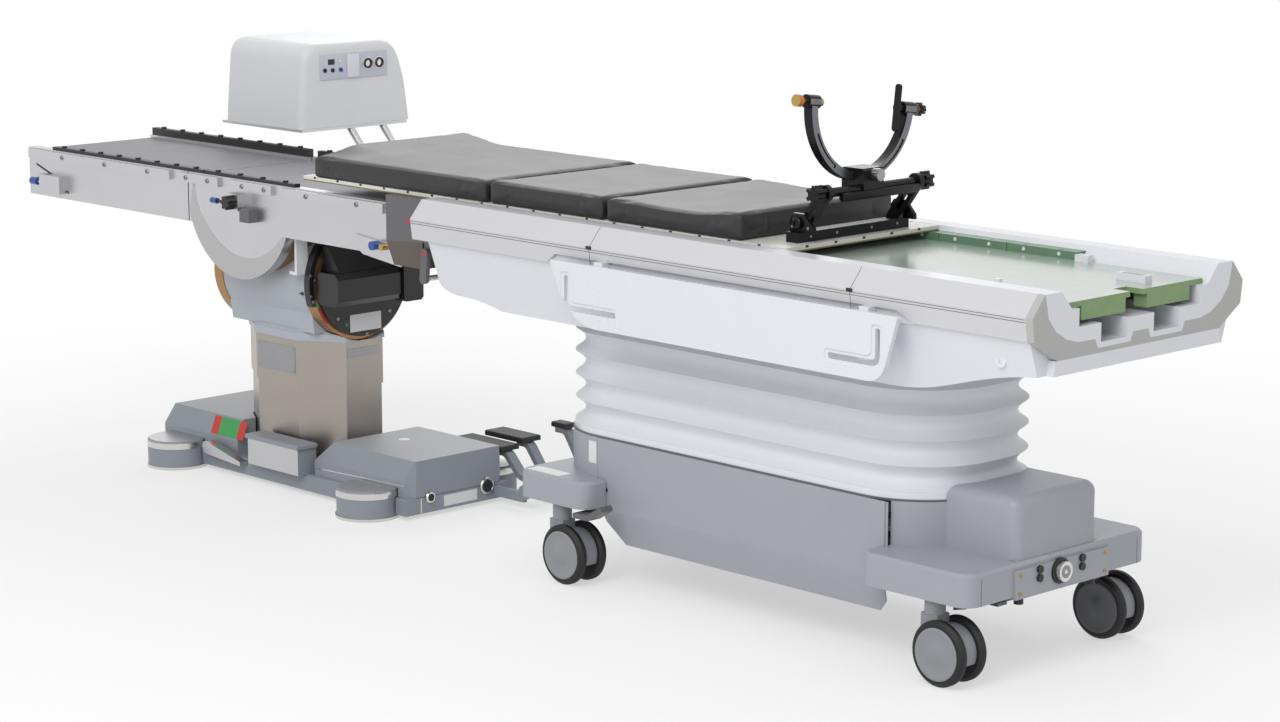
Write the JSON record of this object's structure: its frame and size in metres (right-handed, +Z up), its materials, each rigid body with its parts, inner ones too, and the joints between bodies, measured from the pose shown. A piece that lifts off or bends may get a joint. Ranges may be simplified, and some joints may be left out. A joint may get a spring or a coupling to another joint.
{
  "type": "patient transfer table",
  "caption": "Operating-table top on a floor column docked to a wheeled trolley, bridged by a padded transfer board with a head clamp.",
  "frame": {"origin": "on the floor, on the centreline, under the middle of the trolley's four casters", "axes": "+X along the table from the column to the trolley's foot end, -Y the operator's side, +Z up"},
  "size_m": [3.965, 1.13, 1.2605],
  "materials": {
    "stainless": "satin brushed",
    "base_paint": "fine textured grey-blue paint",
    "rubber_feet": "matt, steel band",
    "head_paint": "light grey-blue paint",
    "bronze": "bronze anodised, satin",
    "black_metal": "satin black",
    "drive_black": "satin black",
    "pedal_black": "matt",
    "deck_dark": "fine matt",
    "blue_knob": "satin",
    "steel_tray": "satin",
    "case_white": "satin white",
    "chassis_paint": "satin grey",
    "cover_white": "satin white",
    "cover_grey": "fine matt grey",
    "caster_grey": "satin grey",
    "wheel_black": "matt tyre, grey disc",
    "brake_grey": "satin",
    "bellows_grey": "matt light grey",
    "carriage_paint": "plain",
    "tub_white": "gloss white",
    "panel_grey": "satin grey",
    "glass_fibre": "gloss pale green",
    "rail_green": "satin green with black tops",
    "dock_grey": "satin dark grey",
    "lever_dark": "satin, steel rod",
    "guard_grey": "satin light grey",
    "board_white": "satin white edge",
    "pad_charcoal": "soft matt vinyl",
    "clamp_black": "black anodised",
    "knob_steel": "satin"
  },
  "bodies": {
    "column_base": {"base_plate": "base_paint", "base_housings": "base_paint", "corner_feet": "rubber_feet", "lower_sleeve": "stainless"},
    "base_lever": {"base_lever": "stainless"},
    "foot_pedal_1": {"foot_pedal_1": "pedal_black"},
    "foot_pedal_2": {"foot_pedal_2": "pedal_black"},
    "foot_pedal_3": {"foot_pedal_3": "pedal_black"},
    "column_head": {"upper_sleeve": "stainless", "head_housing": "head_paint"},
    "roll_head": {"bronze_drums": "bronze", "roll_ring": "black_metal", "drive_unit": "drive_black"},
    "steel_top": {"deck_sections": "stainless", "deck_plates": "deck_dark", "accessory_rails": "stainless", "slide_rails": "drive_black", "instrument_tray": "steel_tray", "instrument_case": "case_white"},
    "end_knob": {"end_knob": "blue_knob"},
    "star_knob": {"star_knob": "blue_knob"},
    "plate_knob": {"plate_knob": "blue_knob"},
    "trolley_base": {"chassis": "chassis_paint", "side_covers": "cover_white", "foot_cover_left": "cover_grey", "foot_cover_right": "cover_grey"},
    "caster_fork_left_near": {"caster_fork_left_near": "caster_grey"},
    "caster_wheel_left_near": {"caster_wheel_left_near": "wheel_black"},
    "caster_fork_left_far": {"caster_fork_left_far": "caster_grey"},
    "caster_wheel_left_far": {"caster_wheel_left_far": "wheel_black"},
    "caster_fork_right_near": {"caster_fork_right_near": "caster_grey"},
    "caster_wheel_right_near": {"caster_wheel_right_near": "wheel_black"},
    "caster_fork_right_far": {"caster_fork_right_far": "caster_grey"},
    "caster_wheel_right_far": {"caster_wheel_right_far": "wheel_black"},
    "brake_bar_left": {"brake_bar_left": "brake_grey"},
    "brake_bar_right": {"brake_bar_right": "brake_grey"},
    "trolley_top": {"bellows": "bellows_grey", "lift_carriage": "carriage_paint", "tub": "tub_white", "side_panels": "panel_grey", "lower_cover": "tub_white", "glass_plate": "glass_fibre", "deck_rails": "rail_green", "docking_block": "dock_grey"},
    "docking_lever": {"docking_lever": "lever_dark"},
    "guard_near": {"guard_near": "guard_grey"},
    "guard_far": {"guard_far": "guard_grey"},
    "board": {"transfer_board": "board_white", "cushion_head": "pad_charcoal", "cushion_middle": "pad_charcoal", "cushion_foot": "pad_charcoal", "clamp_frame": "clamp_black"},
    "clamp_star_near": {"clamp_star_near": "clamp_black"},
    "clamp_star_far": {"clamp_star_far": "clamp_black"},
    "clamp_block": {"clamp_block": "clamp_black"},
    "knurled_knob": {"knurled_knob": "knob_steel"},
    "head_arc": {"head_arc": "clamp_black"},
    "near_pin": {"near_pin": "knob_steel"},
    "torque_knob": {"torque_knob": "clamp_black"},
    "wing_lever": {"wing_lever": "clamp_black"}
  },
  "joints": [
    {"name": "column_lift", "type": "slide", "parent": "column_base", "child": "column_head", "axis": [0, 0, 1], "range_m": [-0.08, 0]},
    {"name": "roll", "type": "hinge", "parent": "column_head", "child": "roll_head", "pos_m": [-1.9775, 0, 0.587], "axis": [1, 0, 0], "range_deg": [-3, 3]},
    {"name": "pitch", "type": "hinge", "parent": "roll_head", "child": "steel_top", "pos_m": [-1.99, 0, 0.825], "axis": [0, 1, 0], "range_deg": [0, 5]},
    {"name": "end_knob_turn", "type": "hinge", "parent": "steel_top", "child": "end_knob", "pos_m": [-2.94, -0.2485, 0.77], "axis": [1, 0, 0], "continuous": true},
    {"name": "star_knob_turn", "type": "hinge", "parent": "steel_top", "child": "star_knob", "pos_m": [-1.98, -0.262, 0.807], "axis": [0, 1, 0], "range_deg": [-60, 60]},
    {"name": "plate_knob_turn", "type": "hinge", "parent": "steel_top", "child": "plate_knob", "pos_m": [-1.373, -0.241, 0.752], "axis": [0, 1, 0], "continuous": true},
    {"name": "base_lever_turn", "type": "hinge", "parent": "column_base", "child": "base_lever", "pos_m": [-2.2, -0.201, 0.072], "axis": [0, -1, 0], "range_deg": [0, 15]},
    {"name": "pedal_1_press", "type": "hinge", "parent": "column_base", "child": "foot_pedal_1", "pos_m": [-1.215, 0.214, 0.05], "axis": [0, -1, 0], "range_deg": [0, 5], "stiffness_Nm_per_rad": 120, "springref_deg": -1.72},
    {"name": "pedal_2_press", "type": "hinge", "parent": "column_base", "child": "foot_pedal_2", "pos_m": [-1.215, 0.294, 0.05], "axis": [0, -1, 0], "range_deg": [0, 5], "stiffness_Nm_per_rad": 120, "springref_deg": -1.72},
    {"name": "pedal_3_press", "type": "hinge", "parent": "column_base", "child": "foot_pedal_3", "pos_m": [-1.215, 0.45, 0.05], "axis": [0, -1, 0], "range_deg": [0, 5], "stiffness_Nm_per_rad": 120, "springref_deg": -1.72},
    {"name": "docking", "type": "slide", "parent": "column_base", "child": "trolley_base", "axis": [1, 0, 0], "range_m": [0, 0.8]},
    {"name": "caster_swivel_left_near", "type": "hinge", "parent": "trolley_base", "child": "caster_fork_left_near", "pos_m": [-0.61, -0.283, 0.19], "axis": [0, 0, 1], "continuous": true},
    {"name": "caster_roll_left_near", "type": "hinge", "parent": "caster_fork_left_near", "child": "caster_wheel_left_near", "pos_m": [-0.567, -0.283, 0.075], "axis": [0, 1, 0], "continuous": true},
    {"name": "caster_swivel_left_far", "type": "hinge", "parent": "trolley_base", "child": "caster_fork_left_far", "pos_m": [-0.61, 0.283, 0.19], "axis": [0, 0, 1], "continuous": true},
    {"name": "caster_roll_left_far", "type": "hinge", "parent": "caster_fork_left_far", "child": "caster_wheel_left_far", "pos_m": [-0.567, 0.283, 0.075], "axis": [0, 1, 0], "continuous": true},
    {"name": "caster_swivel_right_near", "type": "hinge", "parent": "trolley_base", "child": "caster_fork_right_near", "pos_m": [0.61, -0.283, 0.19], "axis": [0, 0, 1], "continuous": true},
    {"name": "caster_roll_right_near", "type": "hinge", "parent": "caster_fork_right_near", "child": "caster_wheel_right_near", "pos_m": [0.653, -0.283, 0.075], "axis": [0, 1, 0], "continuous": true},
    {"name": "caster_swivel_right_far", "type": "hinge", "parent": "trolley_base", "child": "caster_fork_right_far", "pos_m": [0.61, 0.283, 0.19], "axis": [0, 0, 1], "continuous": true},
    {"name": "caster_roll_right_far", "type": "hinge", "parent": "caster_fork_right_far", "child": "caster_wheel_right_far", "pos_m": [0.653, 0.283, 0.075], "axis": [0, 1, 0], "continuous": true},
    {"name": "brake_left_turn", "type": "hinge", "parent": "trolley_base", "child": "brake_bar_left", "pos_m": [-0.52, 0, 0.184], "axis": [0, 1, 0], "range_deg": [-10, 10]},
    {"name": "brake_right_turn", "type": "hinge", "parent": "trolley_base", "child": "brake_bar_right", "pos_m": [0.67, 0, 0.178], "axis": [0, 1, 0], "range_deg": [-10, 10]},
    {"name": "trolley_lift", "type": "slide", "parent": "trolley_base", "child": "trolley_top", "axis": [0, 0, 1], "range_m": [0, 0.15], "deforming": ["bellows"]},
    {"name": "guard_near_raise", "type": "slide", "parent": "trolley_top", "child": "guard_near", "axis": [0, 0, 1], "range_m": [0, 0.18]},
    {"name": "guard_far_raise", "type": "slide", "parent": "trolley_top", "child": "guard_far", "axis": [0, 0, 1], "range_m": [0, 0.18]},
    {"name": "docking_lever_turn", "type": "hinge", "parent": "trolley_top", "child": "docking_lever", "pos_m": [-1.11, 0, 0.765], "axis": [0, 1, 0], "range_deg": [0, 25]},
    {"name": "board_slide", "type": "slide", "parent": "trolley_top", "child": "board", "axis": [1, 0, 0], "range_m": [0, 0.45]},
    {"name": "clamp_star_near_turn", "type": "hinge", "parent": "board", "child": "clamp_star_near", "pos_m": [0.15, -0.18, 1.03], "axis": [0, 1, 0], "continuous": true},
    {"name": "clamp_star_far_turn", "type": "hinge", "parent": "board", "child": "clamp_star_far", "pos_m": [0.15, 0.18, 1.03], "axis": [0, 1, 0], "continuous": true},
    {"name": "clamp_tilt", "type": "hinge", "parent": "board", "child": "clamp_block", "pos_m": [0.15, -0.01, 1.03], "axis": [0, 1, 0], "range_deg": [-10, 10]},
    {"name": "knurled_knob_turn", "type": "hinge", "parent": "clamp_block", "child": "knurled_knob", "pos_m": [0.166, -0.01, 1.063], "axis": [1, 0, 0], "continuous": true},
    {"name": "arc_turn", "type": "hinge", "parent": "clamp_block", "child": "head_arc", "pos_m": [0.119, -0.01, 1.22], "axis": [1, 0, 0], "range_deg": [-10, 10]},
    {"name": "near_pin_press", "type": "slide", "parent": "head_arc", "child": "near_pin", "axis": [0, 0.9925, -0.1219], "range_m": [0, 0.02]},
    {"name": "torque_knob_turn", "type": "hinge", "parent": "head_arc", "child": "torque_knob", "pos_m": [0.119, -0.01, 1.22], "axis": [0, 0.9925, -0.1219], "continuous": true},
    {"name": "wing_lever_turn", "type": "hinge", "parent": "head_arc", "child": "wing_lever", "pos_m": [0.119, -0.01, 1.22], "axis": [0, 0.9925, -0.1219], "continuous": true}
  ]
}
